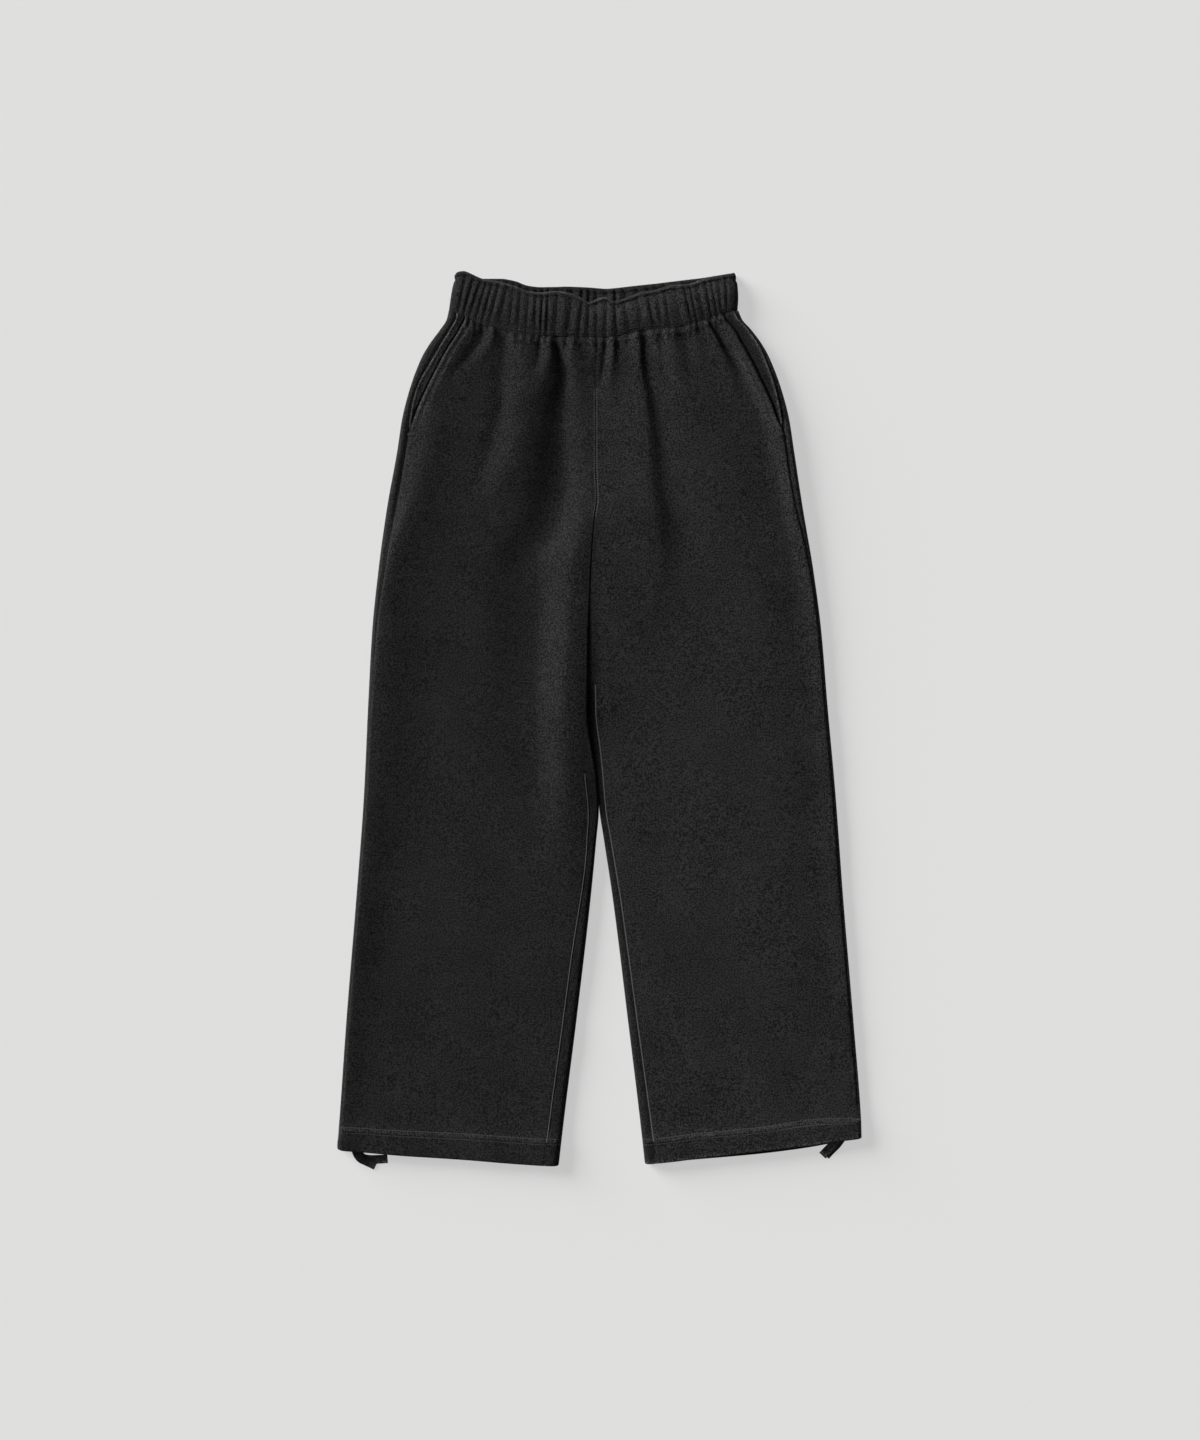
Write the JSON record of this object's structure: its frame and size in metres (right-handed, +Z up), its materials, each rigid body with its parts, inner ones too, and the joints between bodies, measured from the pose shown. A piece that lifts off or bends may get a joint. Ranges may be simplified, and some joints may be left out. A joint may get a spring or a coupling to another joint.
{
  "type": "trousers",
  "caption": "Wide-leg fleece trousers laid flat on their back, with a gathered elastic waistband, slanted side pockets and turned-up hems with flat drawcord ends.",
  "frame": {"origin": "on the surface that the trousers lie on, under the middle of their outline without the hem tapes", "axes": "+X towards the wearer's left leg, +Y from the hems to the waist, +Z up, out of the front"},
  "size_m": [0.5746, 0.9887, 0.017],
  "materials": {
    "fleece": "black brushed fleece with a short matt nap",
    "tape": "black ribbed woven tape, slightly smoother than the fleece"
  },
  "bodies": {
    "root": {"waistband_front": "fleece", "waistband_back": "fleece", "front_right": "fleece", "front_left": "fleece", "back_right": "fleece", "back_left": "fleece", "pocket_facing_right": "fleece", "pocket_facing_left": "fleece", "hem_tape_right_outer": "tape", "hem_tape_right_inner": "tape", "hem_tape_left_outer": "tape", "hem_tape_left_inner": "tape"}
  },
  "joints": []
}
